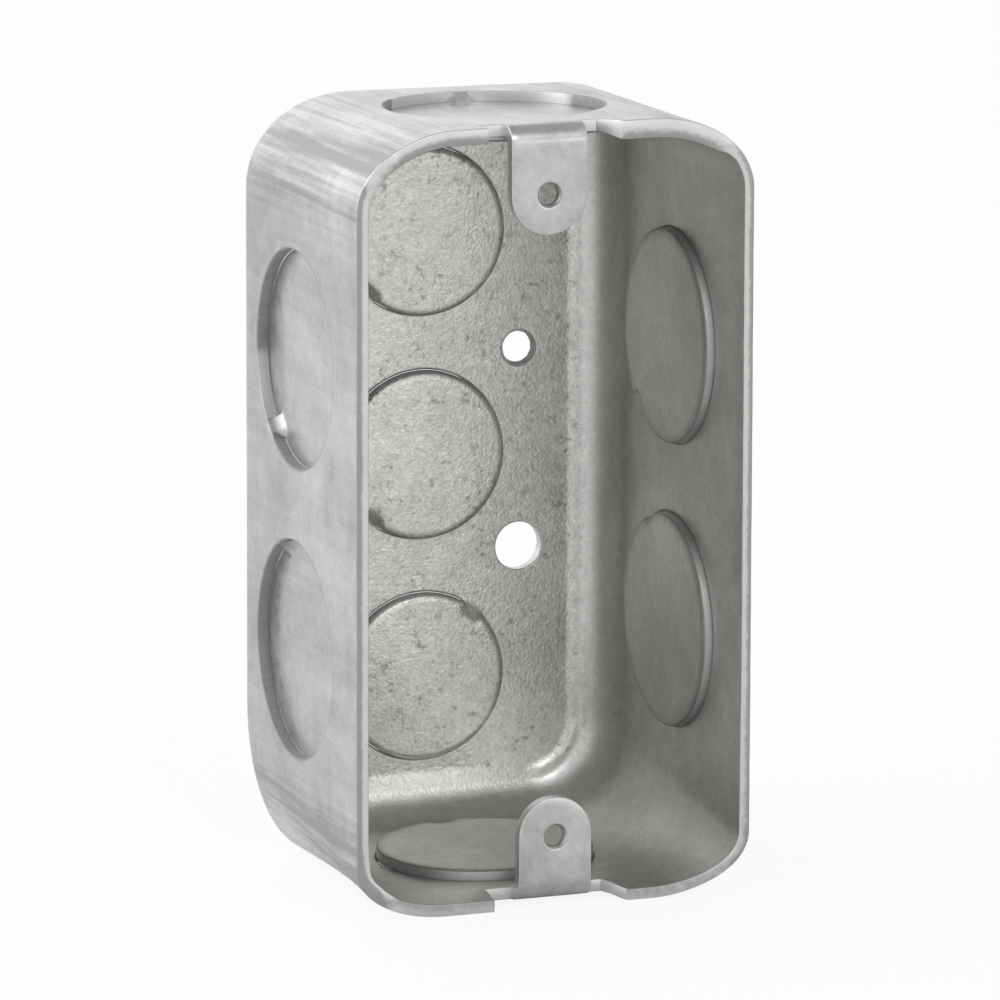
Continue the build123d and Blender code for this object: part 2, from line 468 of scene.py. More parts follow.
class Sheet:
    """Collects the steel as blocks of four-sided cells. Each point is kept twice, on the outside and on the
    inside of the sheet, with the radii its two edges get if it turns out to lie on a cut."""

    def __init__(self, sizes):
        self.sizes = sizes
        self.outside, self.inside, self.radii, self.marks, self.cells = [], [], [], [], []
        self.count = 0

    def add(self, plane, a, b, keep=None, closed=False, push=0.0, thin=0.0, radii=None, panel=0.0, seam=0.0,
            slope=0.0, shine=PLAIN_SHINE):
        """Adds a grid of points a, b of a plane. keep masks its cells, closed joins its last column to the
        first, push moves the sheet in and thin takes thickness off its inside. The rest marks the finish:
        panel the back; the mark after it the torn edges of the knockouts together with the painted shade
        beside their slots and on their ties; shine how bright a cut is and slope how much brighter on its
        inner side."""
        shift = (np.zeros_like(a) + push)[..., None] * plane.inward
        self.outside.append((plane.place(a, b, 0.0) + shift).reshape(-1, 3))
        self.inside.append((plane.place(a, b, self.sizes.sheet - thin) + shift).reshape(-1, 3))
        if radii is None:
            radii = (self.sizes.edge, self.sizes.edge)
        self.radii.append(np.stack([np.zeros_like(a) + r for r in radii], axis=-1).reshape(-1, 2))
        marks = [np.zeros_like(a) + mark for mark in (panel, seam, slope, shine)]
        self.marks.append(np.stack(marks, axis=-1).reshape(-1, len(marks)))
        rows, columns = a.shape
        index = self.count + np.arange(rows * columns).reshape(rows, columns)
        if closed:
            index = np.hstack([index, index[:, :1]])
        quads = np.stack([index[:-1, :-1], index[1:, :-1], index[1:, 1:], index[:-1, 1:]], axis=-1)
        quads = quads[keep] if keep is not None else quads.reshape(-1, 4)
        self.cells.append(quads[:, ::-1] if plane.flip else quads)
        self.count += rows * columns

    def merged(self):
        """Outside, inside, radii, marks and cells with the points that meet made one."""
        outside, inside = np.vstack(self.outside), np.vstack(self.inside)
        both = np.round(np.hstack([outside, inside]) / MERGE).astype(np.int64)
        _, first, index = np.unique(both, axis=0, return_index=True, return_inverse=True)
        cells = index.ravel()[np.vstack(self.cells)]
        used, index = np.unique(cells, return_inverse=True)
        first = first[used]
        radii, marks = np.vstack(self.radii)[first], np.vstack(self.marks)[first]
        return outside[first], inside[first], radii, marks, index.reshape(cells.shape)


def unit(vectors):
    """Vectors at length 1, or as they are where they have none."""
    length = np.linalg.norm(vectors, axis=-1, keepdims=True)
    return vectors / np.where(length > 1e-12, length, 1)


def cell_normals(points, cells):
    """Cross product of the two diagonals of each cell."""
    corner = points[cells]
    return unit(np.cross(corner[:, 2] - corner[:, 0], corner[:, 3] - corner[:, 1]))


def open_edges(cells):
    """Directed edges that only one cell has, with the number of that cell. Cells at a pole, where two
    corners are one point, skip that edge."""
    start = cells.ravel()
    end = np.roll(cells, -1, axis=1).ravel()
    owner = np.repeat(np.arange(len(cells)), 4)
    real = start != end
    start, end, owner = start[real], end[real], owner[real]
    size = cells.max() + 1
    lone = ~np.isin(start * size + end, end * size + start)
    return start[lone], end[lone], owner[lone]


CUT_STEPS = 4  # points round each edge of a cut
MITRE = 1.2  # least squared length of the sum of two out directions, so that a sharp turn isn't drawn out


def close_cuts(outside, inside, radii, marks, cells):
    """Closes the sheet along every open edge, so that it has its thickness. At each point of a cut, out is
    square to the cut, and mitred where the cut turns: twice the sum of its two edges' directions over the
    squared length of that sum. The two skins stop short by the radii, and between them the cut runs a
    quarter turn, a straight and a quarter turn. Returns points, a value that is -1 on the outside skin, 1 on
    the inside skin and between on a cut, marks and cells."""
    start, end, owner = open_edges(cells)
    along = unit(outside[end] - outside[start])
    out_edge = unit(np.cross(along, cell_normals(outside, cells)[owner]))
    out = np.zeros_like(outside)
    np.add.at(out, start, out_edge)
    np.add.at(out, end, out_edge)
    length = np.sum(out * out, axis=1, keepdims=True)
    out = 2 * out / np.maximum(length, MITRE)

    on_cut = np.unique(start)
    place = np.zeros(len(outside), int)
    place[on_cut] = np.arange(len(on_cut))
    through = unit(inside - outside)[on_cut]
    out = out[on_cut]
    r_out, r_in = radii[on_cut, :1], radii[on_cut, 1:]
    top, bottom = outside[on_cut], inside[on_cut]
    turns = np.linspace(0, np.pi / 2, CUT_STEPS)[:, None, None]
    rows = np.concatenate([
        top - r_out * out + r_out * (np.sin(turns) * out + (1 - np.cos(turns)) * through),
        bottom - r_in * out + r_in * (np.cos(turns) * out - (1 - np.sin(turns)) * through),
    ])
    points = np.vstack([outside, inside, rows[1:-1].reshape(-1, 3)])
    points[on_cut] = rows[0]
    points[len(outside) + on_cut] = rows[-1]

    count, ring = len(outside), len(on_cut)
    rings = [on_cut] + [2 * count + k * ring + np.arange(ring) for k in range(len(rows) - 2)]
    rings = np.stack(rings + [count + on_cut])
    a, b = place[start], place[end]
    walls = np.stack([rings[:-1, b], rings[:-1, a], rings[1:, a], rings[1:, b]], axis=-1).reshape(-1, 4)
    through_share = np.cumsum(np.linalg.norm(np.diff(rows, axis=0), axis=-1), axis=0)
    depth = (2 * through_share / through_share[-1] - 1)[:-1]
    side = np.concatenate([np.full(count, -1.0), np.ones(count), depth.ravel()])
    marks = np.vstack([marks, marks, np.tile(marks[on_cut], (len(rows) - 2, 1))])
    return points, side, marks, np.vstack([cells, cells[:, ::-1] + count, walls])


CREASE = math.radians(38)  # an edge that turns more than this stays sharp


def make_object(name, points, cells, **attributes):
    """Mesh object from points and four-sided cells; a cell with a repeated corner becomes a triangle.
    Each attribute is one number for each point."""
    following = np.roll(cells, -1, axis=1)
    keep = cells != following
    totals = keep.sum(axis=1)
    mesh = bpy.data.meshes.new(name)
    mesh.vertices.add(len(points))
    mesh.vertices.foreach_set("co", points.astype(np.float32).ravel())
    mesh.loops.add(int(totals.sum()))
    mesh.loops.foreach_set("vertex_index", cells[keep].astype(np.int32))
    mesh.polygons.add(len(cells))
    starts = np.concatenate([[0], np.cumsum(totals)[:-1]])
    mesh.polygons.foreach_set("loop_start", starts.astype(np.int32))
    mesh.polygons.foreach_set("use_smooth", np.ones(len(cells), bool))
    mesh.update(calc_edges=True)
    mesh.validate()
    mesh.set_sharp_from_angle(angle=CREASE)
    for key, values in attributes.items():
        layer = mesh.attributes.new(key, "FLOAT", "POINT")
        layer.data.foreach_set("value", values.astype(np.float32))
    made = bpy.data.objects.new(name, mesh)
    bpy.context.scene.collection.objects.link(made)
    return made


def lines(stops, pitch):
    """Grid lines through all stops, with cells of about one pitch between them."""
    parts = [np.linspace(a, b, max(1, round((b - a) / pitch)) + 1)[:-1] for a, b in zip(stops, stops[1:])]
    return np.concatenate(parts + [[stops[-1]]])


def span(values, low, high):
    """Slice of the cells between the grid lines nearest to two places."""
    return slice(int(np.abs(values - low).argmin()), int(np.abs(values - high).argmin()))


def take_block(keep, rows, columns, a, b):
    """Takes a block of the cells that are still kept out of a grid. Returns the grid points round it, which
    have some of their four cells taken but not all."""
    taken = np.zeros_like(keep)
    taken[rows, columns] = True
    taken &= keep
    keep[taken] = False
    padded = np.pad(taken, 1).astype(int)
    around = padded[:-1, :-1] + padded[1:, :-1] + padded[1:, 1:] + padded[:-1, 1:]
    i, j = np.nonzero((around > 0) & (around < 4))
    return np.stack([a[i, j], b[i, j]], axis=-1)


# Rows of points round a hole: a first step from its edge, then shares of what is left
FIRST_STEP = 0.36 * MM
RING_SHARES = (0, 0.12, 0.3, 0.58, 1)


def ring_rows(loop, centre, radius):
    """Points from a circle out to a loop of grid points, in rows. They lie on the rays from the centre to
    the loop's points, at the circle, a first step beyond it, and then at shares of what is left. Returns
    the two coordinates and the angle of each ray."""
    away = loop - centre
    angle = np.arctan2(away[:, 1], away[:, 0])
    order = np.argsort(angle)
    away, angle = away[order], angle[order]
    reach = np.linalg.norm(away, axis=1)
    distance = [np.full_like(reach, radius)]
    distance += [radius + FIRST_STEP + (reach - radius - FIRST_STEP) * share for share in RING_SHARES]
    ray = np.stack([np.cos(angle), np.sin(angle)], axis=-1)
    spots = centre + np.stack(distance)[..., None] * ray
    spots[-1] = loop[order]
    return spots[..., 0], spots[..., 1], angle


def add_hole(sheet, plane, loop, centre, radius, panel=0.0):
    """Joins a round hole to the grid points round it."""
    a, b, _ = ring_rows(loop, np.array(centre), radius)
    sheet.add(plane, a, b, closed=True, panel=panel)


def turned_from(angle, direction):
    """How far each angle is from a direction, between minus and plus half a turn."""
    return (angle - math.atan2(direction[1], direction[0]) + np.pi) % (2 * np.pi) - np.pi


TIE_OUT = 0.5 * MM  # how far outside the circle the ramp of a tie starts
TIE_RAMP = 2.3 * MM  # its whole length
FINE_EDGE = 0.03 * MM  # radius of an edge that isn't rolled
SOFT_SHARE = 0.9  # how much of the tear a smoothly bent edge hides
SOFT_FADE = 0.04  # radians over which it does
WALL_LIP = 0.45  # lip of a disc in a wall, as a share of that of a disc in the back
WALL_TEAR_AND_SHADE = 0.3  # and how torn its edge looks, and how much painted shade lies along it
SLOT_CLOSES = 0.1  # share of the radius over which the slot closes
# Rows of a disc's points: first at shares of the lip, then at shares of the radius
LIP_ROWS = (0, 0.04, 0.15, 0.34, 0.6, 0.9)
DISC_ROWS = (0.1, 0.14, 0.19, 0.26, 0.36, 0.48, 0.62, 0.76, 0.89, 1)


def add_knockout(sheet, plane, loop, centre, radius, push, tie, dull, soft, sizes, panel=0.0):
    """Joins a pushed-in disc to the grid points round it. The sheet is torn along the circle: the disc's
    points stand in by the push, the wall's by nothing. Where the tie holds, both follow one ramp, which
    eases from nothing outside the circle to the push inside it. Beside the tie the tear opens.
    tie is the direction of the tie in the plane's two coordinates, and the argument after it says how much
    rougher bending has made the tie and how much painted shade darkens it. Within soft, a direction and half
    an angle, the edge was bent smooth before it tore. The inner edge of the disc falls away round a quarter
    circle, and its middle stands in by a dome. Painted shade also darkens the disc's skin towards its torn
    edge, and the wall's skin just beside it."""
    centre = np.array(centre)
    a, b, angle = ring_rows(loop, centre, radius)
    hold = fade(np.abs(turned_from(angle, tie)) * radius, sizes.tie / 2, sizes.tie_fade)
    torn = rough_tear = 1 - hold
    if soft:
        direction, half = soft
        bent_smooth = smooth((half - np.abs(turned_from(angle, direction))) / SOFT_FADE)
        rough_tear = torn * (1 - SOFT_SHARE * bent_smooth)
    rolled = FINE_EDGE + (sizes.roll - FINE_EDGE) * rough_tear
    beyond = np.hypot(a - centre[0], b - centre[1]) - radius
    # Painted shade: the tie is darkened where it holds, and the wall's skin just beside the torn edge takes a
    # thin dark line; the same mark gives the torn edge its colour and roughness.
    bent = dull * hold
    seam = bent * smooth(1 - beyond / TIE_OUT)
    seam[0] += rough_tear
    drop = push * hold * smooth((TIE_OUT - beyond) / TIE_RAMP)
    sheet.add(plane, a, b, closed=True, push=drop, panel=panel, seam=seam,
              radii=(rolled, FINE_EDGE + sizes.burr * torn))

    lip = sizes.lip * (WALL_LIP + (1 - WALL_LIP) * panel)
    shares = np.concatenate([np.array(LIP_ROWS) * lip / radius, DISC_ROWS])[:, None]
    from_edge = radius * shares
    distance = radius * (1 - shares) - sizes.gap * torn * fade(shares, 0, SLOT_CLOSES)
    a = centre[0] + distance * np.cos(angle)
    b = centre[1] + distance * np.sin(angle)
    a[-1], b[-1] = centre
    # Painted shade: the disc's skin darkens towards its torn edge and fades out over the lip; in the walls
    # its edge row is marked less.
    seam = rough_tear * np.clip(1 - from_edge / sizes.lip, 0, 1) ** 2
    seam[0] *= WALL_TEAR_AND_SHADE + (1 - WALL_TEAR_AND_SHADE) * panel
    # Painted shade along the disc's side of the tie.
    seam += bent * smooth(1 - from_edge / (TIE_RAMP - TIE_OUT))
    round_lip = 1 - np.sqrt(1 - np.clip(1 - from_edge / lip, 0, 1) ** 2)
    thin = sizes.lip_drop * lip / sizes.lip * round_lip * torn
    dome = sizes.dome * (1 - (distance / radius) ** 2)
    drop = push * (1 - hold * (1 - smooth((TIE_OUT + from_edge) / TIE_RAMP))) + dome
    sheet.add(plane, a[::-1], b[::-1], closed=True, push=drop[::-1], thin=thin[::-1], panel=panel,
              seam=seam[::-1], radii=(FINE_EDGE, FINE_EDGE))


RIM_LINE = 0.5 * MM  # the first grid line behind the rim
RAMP_SPREAD = 9 * MM  # the slanted side of a notch moves the grid right of it over this length
RAGGED_WAVES = (31 * MM, 13 * MM, 6.1 * MM)  # wave lengths of the ragged rim
RAGGED_SEED = 5
THICK_SHARE = 0.97  # share of a notch's depth over which the rim's thickening fades


def add_wall(sheet, wall, stops, behind_stops, knockouts, ears, sizes):
    """One wall from the rim to the end of the back radius. An end wall leaves out the cells of its notches
    and of the ear's root, and its grid slants with the side of the notch: it moves right by the ramp at the
    rim and by nothing at the notch's floor. The rim falls short of its plane by a sum of waves."""
    box = sheet.sizes
    along = lines(stops, box.pitch)
    behind = np.insert(lines(behind_stops, box.pitch), 1, RIM_LINE)
    a, b = np.meshgrid(along, behind, indexing="ij")
    keep = np.ones((len(along) - 1, len(behind) - 1), bool)
    if wall.axis == "x":
        keep[span(along, -ears.notch_left, ears.notch_right), span(behind, 0, ears.notch_depth)] = False
        spread = np.where(a >= ears.notch_right - CLOSE, fade(a, ears.notch_right, RAMP_SPREAD), 0)
        a = a + ears.ramp * spread * np.clip(1 - b / ears.notch_depth, 0, 1)
    panel = smooth((b - DEPTH + box.back_radius) / (box.back_radius * np.pi / 2))
    for low, high, centre, push, tie, dull, soft in knockouts:
        rows, columns = span(along, low, high), span(behind, behind_stops[2], behind_stops[3])
        loop = take_block(keep, rows, columns, a, b)
        add_knockout(sheet, wall, loop, centre, sizes.large, push, tie, dull, soft, sizes)
    at_rim = np.where(b < CLOSE, 1.0, 0.0)
    around = perimeter(wall, a)
    ragged = waves(around, RAGGED_SEED, RAGGED_WAVES, 2 * (WIDTH + LENGTH))
    b = b + box.rim_ragged * (0.5 + 0.5 * ragged) * at_rim
    roll = box.edge + (box.rim_roll - box.edge) * at_rim
    slope, shine, thick = rim_finish(around)
    thin = -thick * fade(b, 0, THICK_SHARE * ears.notch_depth)
    sheet.add(wall, a, b, keep=keep, panel=panel, radii=(roll, box.edge), slope=slope * at_rim,
              shine=PLAIN_SHINE + (shine - PLAIN_SHINE) * at_rim, thin=thin)


# The rim's cut, by millimetres round the plan from its lower right corner, up the right wall: how much
# brighter its inner side is, how bright it is, and how many millimetres the drawing has thickened it
RIM = (
    (0, 0.3, 0, -0.1),
    (30, 0.9, 0.05, -0.3),
    (98, 0.9, 0.05, -0.3),
    (100.5, 0.3, 0.2, 0),
    (103, -0.6, 0.2, 0.7),
    (106, -0.7, 0.2, 0.9),
    (121, -0.7, 0.2, 0.9),
    (128, 0, 0.3, 0.5),
    (140, -0.9, 0.1, 0.45),
    (150, -0.9, 0.1, 0.4),
    (160, -0.2, 0.3, 0.3),
    (162, 1.4, 0.15, 0),
    (247, 1.4, 0.15, 0),
    (251, 1.6, -0.5, 0.3),
    (256, 2, -1.2, 0.5),
    (258, 1, -0.2, 0.4),
    (262, -0.5, 0.15, 0.1),
    (290, -0.6, 0.1, -0.1),
    (311.15, 0.1, 0.1, -0.1),
)


def rim_finish(around):
    """Slope and shine of the rim's cut, and how much the drawing has thickened it, between the rows of RIM.
    Down the left wall the outer half is dark and the inner half bright, at the lower left corner the dark
    half widens and ends, and along the bottom the outer half is a little brighter. The upper end is the
    thickest and the right wall the thinnest."""
    stops, *columns = np.transpose(RIM)
    slope, shine, thick = (np.interp(around / MM, stops, values) for values in columns)
    return slope, shine, thick * MM


def perimeter(wall, along):
    """Distance round the plan's rectangle from its lower right corner, up the right wall."""
    if wall.axis == "z":
        return along + HALF_Z if wall.side > 0 else LENGTH + WIDTH + HALF_Z - along
    return LENGTH + HALF_X - along if wall.side > 0 else 2 * LENGTH + WIDTH + along + HALF_X


def panel_grid(sizes, across_lines, along_lines):
    """Points of the back's grid. They keep their share of the flat rectangle, and within a margin of its edge
    move with the nearest point of the edge to where the back radius ends."""
    bx, bz = np.meshgrid(across_lines, along_lines, indexing="ij")
    flat_x = HALF_X - sizes.back_radius
    flat_z = HALF_Z - sizes.back_radius - end_lean(sizes, bz)
    x, z = bx * flat_x / HALF_X, bz * flat_z / HALF_Z
    inside = np.minimum(flat_x - np.abs(x), flat_z - np.abs(z))
    edge_x = np.clip(x * flat_x / (flat_x - inside), -flat_x, flat_x)
    edge_z = np.clip(z * flat_z / (flat_z - inside), -flat_z, flat_z)
    end = DEPTH - sizes.back_radius * (1 - np.pi / 2)
    target = plan_point(sizes, edge_x * HALF_X / flat_x, edge_z * HALF_Z / flat_z, end, 0.0)
    margin = 6 * MM
    pull = np.clip(1 - inside / margin, 0, 1)
    return x + (target[..., 0] - edge_x) * pull, z + (target[..., 2] - HALF_Z - edge_z) * pull


# The cells of the back that its holes take up, by places from its middle
HOLE_ACROSS, HOLE_ALONG = (7.5 * MM, 17.5 * MM), (9.2 * MM, 17.65 * MM)
DISC_ACROSS = (-13.6 * MM, 11.6 * MM)
BEYOND = 1.0  # past every grid line
# Each disc of the back: its step from the middle one, its cells along the box, and its tie
BACK_DISCS = (
    (1, (17.65 * MM, BEYOND), (-0.69, -0.72)),
    (0, (-12.3 * MM, 12.3 * MM), (-0.66, -0.75)),
    (-1, (-BEYOND, -17.65 * MM), (0.64, 0.77)),
)
BACK_DULL_AND_SHADE = 0.25  # how dull the ties of the back are, and how much painted shade darkens them


def add_back(sheet, across_lines, along_lines, sizes, ears):
    """The flat back with three small knockouts, the plain hole and the tapped one."""
    box, back = sheet.sizes, Back()
    x, z = panel_grid(box, across_lines, along_lines)
    middle_x, middle_z = x[:, x.shape[1] // 2], z[x.shape[0] // 2]
    keep = np.ones((x.shape[0] - 1, x.shape[1] - 1), bool)
    for side, radius in ((1, ears.ground), (-1, box.fixing_radius)):
        ends = sorted(side * place for place in HOLE_ALONG)
        loop = take_block(keep, span(middle_x, *HOLE_ACROSS), span(middle_z, *ends), x, z)
        add_hole(sheet, back, loop, (box.hole_x, side * box.hole_z), radius, panel=1.0)
    for step, ends, tie in BACK_DISCS:
        loop = take_block(keep, span(middle_x, *DISC_ACROSS), span(middle_z, *ends), x, z)
        add_knockout(sheet, back, loop, (sizes.back_shift, step * sizes.back_reach), sizes.small,
                     sizes.push_back, tie, BACK_DULL_AND_SHADE, None, sizes, panel=1.0)
    sheet.add(back, x, z, keep=keep, panel=1.0)


EAR_BEND_PITCH, EAR_FACE_PITCH = 0.4 * MM, MM  # mesh cells round the bend of an ear and down its face
EAR_END_POINTS, EAR_SIDE_POINTS = 20, 6  # points round its end and down each side of its square


def add_ear(sheet, ear, ears, across_lines):
    """A strip up to the round end, and the round end, a square with half a circle on it, with its hole."""
    half = ears.width / 2
    across = across_lines[np.abs(across_lines) < half + CLOSE]
    square = ear.hole - half
    path = np.concatenate([[0], lines((ear.root, ear.face), EAR_BEND_PITCH)[:-1],
                           lines((ear.face, square), EAR_FACE_PITCH)])
    a, b = np.meshgrid(across, path, indexing="ij")
    sheet.add(ear, a, b)

    side = np.linspace(square, ear.hole, EAR_SIDE_POINTS)[1:]
    turn = np.linspace(0, np.pi, EAR_END_POINTS)[1:-1]
    loop = np.vstack([
        np.stack([across, np.full_like(across, square)], axis=-1),
        np.stack([np.full_like(side, half), side], axis=-1),
        np.stack([half * np.cos(turn), ear.hole + half * np.sin(turn)], axis=-1),
        np.stack([np.full_like(side, -half), side], axis=-1),
    ])
    add_hole(sheet, ear, loop, (0, ear.hole), ears.screw)


THREAD_TURNS, THREAD_LEVELS = 72, 26  # points round a thread, and along it
THREAD_CUT = 0.92  # share of its height that the groove reaches
THREAD_CHAMFER = 0.25 * MM
CHAMFER_START = 0.25  # share of the height at which the chamfer starts
CHAMFER_END = 0.995  # share of the outer radius that it may reach
SLEEVE_WALL = 0.05 * MM  # steel outside the thread, which sits in the sheet


def thread_sleeve(centre, outer, crest, pitch, thick):
    """Closed ring along y with a thread inside. Round it, the radius of the inner wall at a depth d and an
    angle is the crest's, plus the thread's height times a triangle wave of d / pitch less the angle's share
    of a turn; at both ends it opens into a chamfer."""
    angle = np.linspace(0, 2 * np.pi, THREAD_TURNS, endpoint=False)
    depth = np.linspace(0, thick, THREAD_LEVELS)[:, None]
    phase = (depth / pitch - angle / (2 * np.pi)) % 1
    radius = crest + (outer - crest) * THREAD_CUT * np.abs(2 * phase - 1)
    ends = np.maximum(THREAD_CHAMFER - np.minimum(depth, thick - depth), 0)
    mouth = np.minimum(crest + CHAMFER_START * (outer - crest) + ends, outer * CHAMFER_END) * (ends > 0)
    shell = np.full((2, THREAD_TURNS), outer + SLEEVE_WALL)
    radius = np.vstack([np.maximum(radius, mouth), shell])
    depth = np.vstack([depth + 0 * angle, np.full(THREAD_TURNS, thick), np.zeros(THREAD_TURNS)])
    points = np.stack([centre[0] + radius * np.cos(angle), centre[1] + depth,
                       centre[2] + radius * np.sin(angle)], axis=-1)
    index = np.arange(radius.size).reshape(radius.shape)
    down, across = np.roll(index, -1, axis=0), np.roll(index, -1, axis=1)
    both = np.roll(down, -1, axis=1)
    cells = np.stack([index, down, both, across], axis=-1)
    return points.reshape(-1, 3), cells.reshape(-1, 4)


class Graph:
    """Adds nodes to a material. Each call returns the output of the node that it adds; a number or a colour
    given where a node takes an input is set on its socket."""

    def __init__(self, name):
        self.material = bpy.data.materials.new(name)
        self.material.use_nodes = True
        self.tree = self.material.node_tree
        self.shader = self.tree.nodes["Principled BSDF"]
        self.place = self.tree.nodes.new("ShaderNodeTexCoord").outputs["Object"]

    def feed(self, socket, value):
        if isinstance(value, bpy.types.NodeSocket):
            self.tree.links.new(value, socket)
        elif value is not None:
            socket.default_value = value

    def math(self, kind, *values, clamp=False):
        node = self.tree.nodes.new("ShaderNodeMath")
        node.operation, node.use_clamp = kind, clamp
        for socket, value in zip(node.inputs, values):
            self.feed(socket, value)
        return node.outputs[0]

    def stretch(self, factors):
        node = self.tree.nodes.new("ShaderNodeVectorMath")
        node.operation = "MULTIPLY"
        self.feed(node.inputs[0], self.place)
        node.inputs[1].default_value = factors
        return node.outputs[0]

    def noise(self, scale, detail, rough, vector=None, distortion=0.0):
        node = self.tree.nodes.new("ShaderNodeTexNoise")
        self.feed(node.inputs["Vector"], vector or self.place)
        for key, value in (("Scale", scale), ("Detail", detail), ("Roughness", rough),
                           ("Distortion", distortion)):
            node.inputs[key].default_value = value
        return node.outputs["Fac"]

    def remap(self, value, low, high):
        """0 at low and 1 at high, with no slope at either."""
        node = self.tree.nodes.new("ShaderNodeMapRange")
        node.interpolation_type = "SMOOTHSTEP"
        for socket, given in zip(node.inputs, (value, low, high)):
            self.feed(socket, given)
        return node.outputs[0]

    def mark(self, name):
        node = self.tree.nodes.new("ShaderNodeAttribute")
        node.attribute_name = name
        return node.outputs["Fac"]

    def mix(self, share, first, second, kind="MIX"):
        node = self.tree.nodes.new("ShaderNodeMix")
        node.data_type, node.blend_type = "RGBA", kind
        self.feed(node.inputs[0], share)
        self.feed(node.inputs[6], first)
        self.feed(node.inputs[7], second)
        return node.outputs[2]

    def parts(self):
        """The three parts of a place."""
        node = self.tree.nodes.new("ShaderNodeSeparateXYZ")
        self.feed(node.inputs[0], self.place)
        return node.outputs

    def bump(self, height, depth):
        node = self.tree.nodes.new("ShaderNodeBump")
        node.inputs["Distance"].default_value = depth
        self.feed(node.inputs["Height"], height)
        return node.outputs[0]


# Where a finish begins and where it is whole: the inside and a cut on the side attribute, the specks and
# the fold on the panel attribute
INSIDE, CUT_BEGINS = (0.9, 0.999), (0.999, 0.96)
BACK_BEGINS, FOLD_BEGINS = (0.8, 1.0), (0.4, 0.7)
WALL_ROUGH = 0.28  # how rough the inside of the walls is, where the back is 1
# Noise in the zinc: cells in a metre, detail, roughness, twist, strength, and how much more of it the rough
# parts have
CLOUDS = (60, 3, 0.6, 0.5, 1.3, -0.9)
MOTTLE = (420, 2, 0.6, 0.0, 0.45, 0.15)
GRAIN = (1250, 2, 0.65, 0.0, 0.36, 0.55)
FINE_GRAIN = (2600, 1, 0.6, 0.0, 0.2, 0.5)
# Marks of the drawing and of the rolling: cells in a metre across, behind and up the box, detail, roughness
# and strength
BANDS = ((170, 5, 170), 2, 0.6, 3.7)
STREAKS = ((850, 16, 850), 3, 0.65, 2.9)
ROLLED_LINES = ((420, 420, 24), 1, 0.6, 0.2)
# The corners, where bands and streaks are strong, by distances from the middle across and along the box
CORNER_ACROSS, CORNER_ALONG = (12 * MM, 19 * MM), (35 * MM, 42 * MM)
DRAWN_ELSEWHERE = 0.15  # share of them everywhere else
POLISHED_AND_HIGHLIGHT_SHARE = 0.35  # most of the polished colour that shows, partly a painted highlight on the radius
# Specks and their clusters: cells in a metre, detail and roughness, and the values between which they show
SPECKS, SPECKS_SHOW = (1000, 2, 0.6), (0.55, 0.7)
CLUSTERS, CLUSTERS_SHOW = (230, 1, 0.6), (0.42, 0.62)
WALL_SPECKS, MORE_BACK_SPECKS = 0.12, 0.38
# A cut: its broken patches, their strength, and the values between which it turns from sheared to broken
BROKEN, BROKEN_STRENGTH, BROKEN_SHOWS = (900, 2, 0.7), 0.7, (-0.25, 0.35)
# A tear: cells of its marks in a metre across, behind and up, the noise that they leave out, and the shares
# of its own colour and of the pits' colour; the pits' share also sets the painted shade on the skin beside
# a tear and on a tie
TEAR_MARKS, TEAR_MARKS_FROM = (260, 1700, 1700), 0.2
TEAR_SHARE, TEAR_PITS_AND_SHADE = 0.85, 0.45
# Roughness added on the inside of the walls, on a tear and on a cut, and that of mottle and clouds as a
# share on the outside and a share everywhere
ROUGH_WALLS, ROUGH_TEAR, ROUGH_CUT = 0.15, 0.25, 0.1
ROUGH_MOTTLE, ROUGH_CLOUDS = (0.17, 0.08), (-0.15, -0.05)
GRAIN_SHARE = 0.35  # relief of the grain beside that of the fine grain
RELIEF_ROUGH, RELIEF_PLAIN = 1.35, 0.15  # of both on the rough parts, and everywhere
RELIEF_POLISHED = 0.75  # how much of it the polish takes away
RELIEF_STREAKS = 1.2
FOLD_ENDS = (-2 * MM, 3 * MM)  # from its centre, over which the fold begins to the right and below


